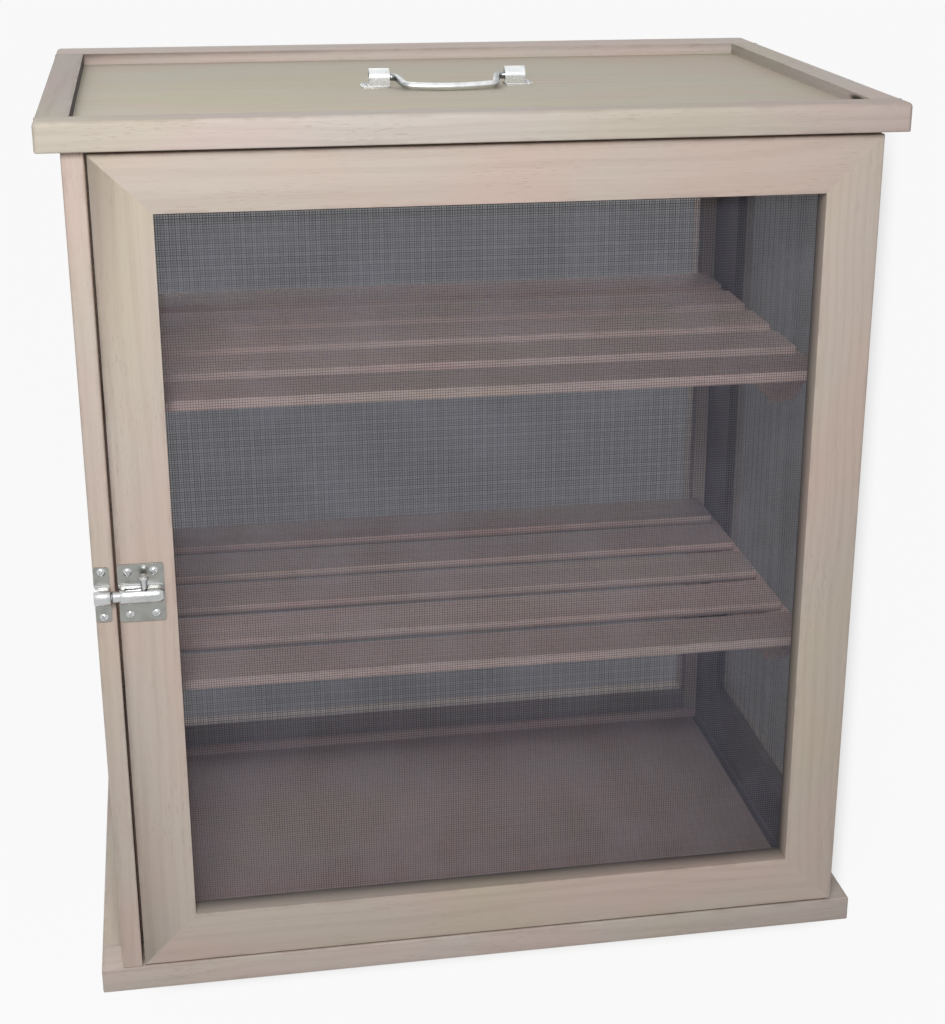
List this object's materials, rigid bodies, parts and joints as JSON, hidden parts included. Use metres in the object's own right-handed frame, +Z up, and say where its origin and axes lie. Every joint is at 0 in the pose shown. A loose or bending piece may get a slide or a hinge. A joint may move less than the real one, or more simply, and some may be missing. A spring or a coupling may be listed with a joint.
{
  "type": "screened food safe cabinet",
  "caption": "Portable wooden food safe: screened sides and back, a framed screen door with a barrel bolt, slatted shelves and a lid with a folding carrying handle.",
  "frame": {"origin": "middle of the object's box, on the surface it stands on", "axes": "+X to the right seen from the front, -Y out of the door, +Z up"},
  "size_m": [0.444, 0.3068, 0.496],
  "materials": {
    "case_wood": "planed, unvarnished pinkish beige softwood with fine straight grain",
    "inner_wood": "planed, unvarnished wood inside the case",
    "panel_wood": "sanded plywood, greenish beige",
    "screen_wire": "fine woven grey fly wire",
    "bright_zinc": "bright zinc plated steel"
  },
  "bodies": {
    "cabinet": {"base_front_rail": "case_wood", "base_back_rail": "case_wood", "base_left_rail": "case_wood", "base_right_rail": "case_wood", "left_front_stile": "case_wood", "left_rear_stile": "case_wood", "left_top_rail": "case_wood", "left_bottom_rail": "case_wood", "left_screen": "screen_wire", "right_front_stile": "case_wood", "right_rear_stile": "case_wood", "right_top_rail": "case_wood", "right_bottom_rail": "case_wood", "right_screen": "screen_wire", "back_left_stile": "case_wood", "back_right_stile": "case_wood", "back_top_rail": "case_wood", "back_bottom_rail": "case_wood", "back_screen": "screen_wire", "back_staples": "bright_zinc", "floor_batten": "inner_wood", "floor_board": "inner_wood", "lid_front_rail": "case_wood", "lid_back_rail": "case_wood", "lid_left_rail": "case_wood", "lid_right_rail": "case_wood", "lid_panel": "panel_wood", "upper_slat_1": "inner_wood", "upper_slat_2": "inner_wood", "upper_slat_3": "inner_wood", "upper_slat_4": "inner_wood", "upper_slat_5": "inner_wood", "upper_left_bearer": "inner_wood", "upper_right_bearer": "inner_wood", "lower_slat_1": "inner_wood", "lower_slat_2": "inner_wood", "lower_slat_3": "inner_wood", "lower_slat_4": "inner_wood", "lower_slat_5": "inner_wood", "lower_left_bearer": "inner_wood", "lower_right_bearer": "inner_wood", "upper_hinge_case_leaf": "bright_zinc", "lower_hinge_case_leaf": "bright_zinc", "hinge_pins": "bright_zinc", "bolt_keeper": "bright_zinc", "handle_left_bracket": "bright_zinc", "handle_right_bracket": "bright_zinc", "cabinet_screws": "bright_zinc"},
    "door": {"door_left_stile": "case_wood", "door_right_stile": "case_wood", "door_top_rail": "case_wood", "door_bottom_rail": "case_wood", "door_screen": "screen_wire", "door_staples": "bright_zinc", "upper_hinge_door_leaf": "bright_zinc", "lower_hinge_door_leaf": "bright_zinc", "bolt_plate": "bright_zinc", "door_screws": "bright_zinc"},
    "bolt": {"bolt_rod": "bright_zinc"},
    "bail": {"handle_bail": "bright_zinc"}
  },
  "joints": [
    {"name": "door_hinge", "type": "hinge", "parent": "cabinet", "child": "door", "pos_m": [0.2123, -0.12883, 0.2455], "axis": [0, 0, 1], "range_deg": [0, 180]},
    {"name": "bolt_slide", "type": "slide", "parent": "door", "child": "bolt", "axis": [-1, 0, 0], "range_m": [0, 0.008]},
    {"name": "bail_hinge", "type": "hinge", "parent": "cabinet", "child": "bail", "pos_m": [0, -0.00358, 0.491], "axis": [-1, 0, 0], "range_deg": [0, 199]}
  ]
}
